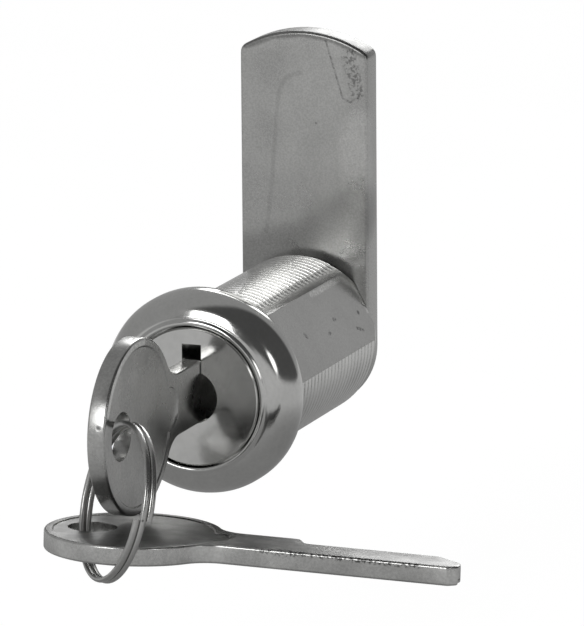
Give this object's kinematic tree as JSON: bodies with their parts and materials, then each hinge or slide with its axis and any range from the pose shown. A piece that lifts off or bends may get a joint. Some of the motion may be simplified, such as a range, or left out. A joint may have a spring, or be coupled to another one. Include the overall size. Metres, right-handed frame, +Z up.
{
  "type": "cam lock",
  "caption": "Cam lock with a round flanged head, a threaded barrel with flats, a flat straight cam, a key in the plug and a spare key on a split ring.",
  "frame": {"origin": "on the lock axis at the back face of the flange, where it meets the panel", "axes": "+Y into the panel along the lock axis, +Z up towards the tip of the cam, +X right seen from the front"},
  "size_m": [0.0499, 0.0739, 0.0472],
  "materials": {
    "housing_plating": "polished",
    "plug_plating": "polished",
    "cam_steel": "satin",
    "fastener_steel": "satin",
    "key_plating": "satin",
    "ring_steel": "polished",
    "wafer_brass": "satin",
    "spring_steel": "satin"
  },
  "bodies": {
    "housing": {"housing": "housing_plating"},
    "plug": {"plug": "plug_plating", "cam": "cam_steel", "lock_washer": "fastener_steel", "cam_screw": "fastener_steel", "wafer_spring_1": "spring_steel", "wafer_spring_2": "spring_steel", "wafer_spring_3": "spring_steel", "wafer_spring_4": "spring_steel", "wafer_spring_5": "spring_steel", "wafer_spring_6": "spring_steel"},
    "key": {"key_in_lock": "key_plating"},
    "ring": {"split_ring": "ring_steel"},
    "spare": {"spare_key": "key_plating"},
    "wafer_1": {"wafer_1": "wafer_brass"},
    "wafer_2": {"wafer_2": "wafer_brass"},
    "wafer_3": {"wafer_3": "wafer_brass"},
    "wafer_4": {"wafer_4": "wafer_brass"},
    "wafer_5": {"wafer_5": "wafer_brass"},
    "wafer_6": {"wafer_6": "wafer_brass"}
  },
  "joints": [
    {"name": "plug_turn", "type": "hinge", "parent": "housing", "child": "plug", "pos_m": [0, 0, 0], "axis": [0, 1, 0], "range_deg": [0, 90]},
    {"name": "key_slide", "type": "slide", "parent": "plug", "child": "key", "axis": [0, -1, 0], "range_m": [0, 0.02]},
    {"name": "ring_swing", "type": "hinge", "parent": "key", "child": "ring", "pos_m": [0, -0.0259, 0.0007], "axis": [1, 0, 0], "range_deg": [-60, 5]},
    {"name": "spare_key_swing", "type": "hinge", "parent": "ring", "child": "spare", "pos_m": [-0.00246, -0.02605, -0.01012], "axis": [0.0105, 0.0645, 0.9979], "range_deg": [-5, 15]},
    {"name": "wafer_1_drop", "type": "slide", "parent": "plug", "child": "wafer_1", "axis": [0, 0, -1], "range_m": [0, 0.000918], "deforming": ["wafer_spring_1"]},
    {"name": "wafer_2_drop", "type": "slide", "parent": "plug", "child": "wafer_2", "axis": [0, 0, -1], "range_m": [0, 0.000918], "deforming": ["wafer_spring_2"]},
    {"name": "wafer_3_drop", "type": "slide", "parent": "plug", "child": "wafer_3", "axis": [0, 0, -1], "range_m": [0, 0.000918], "deforming": ["wafer_spring_3"]},
    {"name": "wafer_4_drop", "type": "slide", "parent": "plug", "child": "wafer_4", "axis": [0, 0, -1], "range_m": [0, 0.000918], "deforming": ["wafer_spring_4"]},
    {"name": "wafer_5_drop", "type": "slide", "parent": "plug", "child": "wafer_5", "axis": [0, 0, -1], "range_m": [0, 0.000918], "deforming": ["wafer_spring_5"]},
    {"name": "wafer_6_drop", "type": "slide", "parent": "plug", "child": "wafer_6", "axis": [0, 0, -1], "range_m": [0, 0.000918], "deforming": ["wafer_spring_6"]}
  ],
  "couplings": [
    {"joint": "wafer_1_drop", "follows": "key_slide", "ratio": 0.045},
    {"joint": "wafer_2_drop", "follows": "key_slide", "ratio": 0.045},
    {"joint": "wafer_3_drop", "follows": "key_slide", "ratio": 0.045},
    {"joint": "wafer_4_drop", "follows": "key_slide", "ratio": 0.045},
    {"joint": "wafer_5_drop", "follows": "key_slide", "ratio": 0.045},
    {"joint": "wafer_6_drop", "follows": "key_slide", "ratio": 0.045}
  ]
}
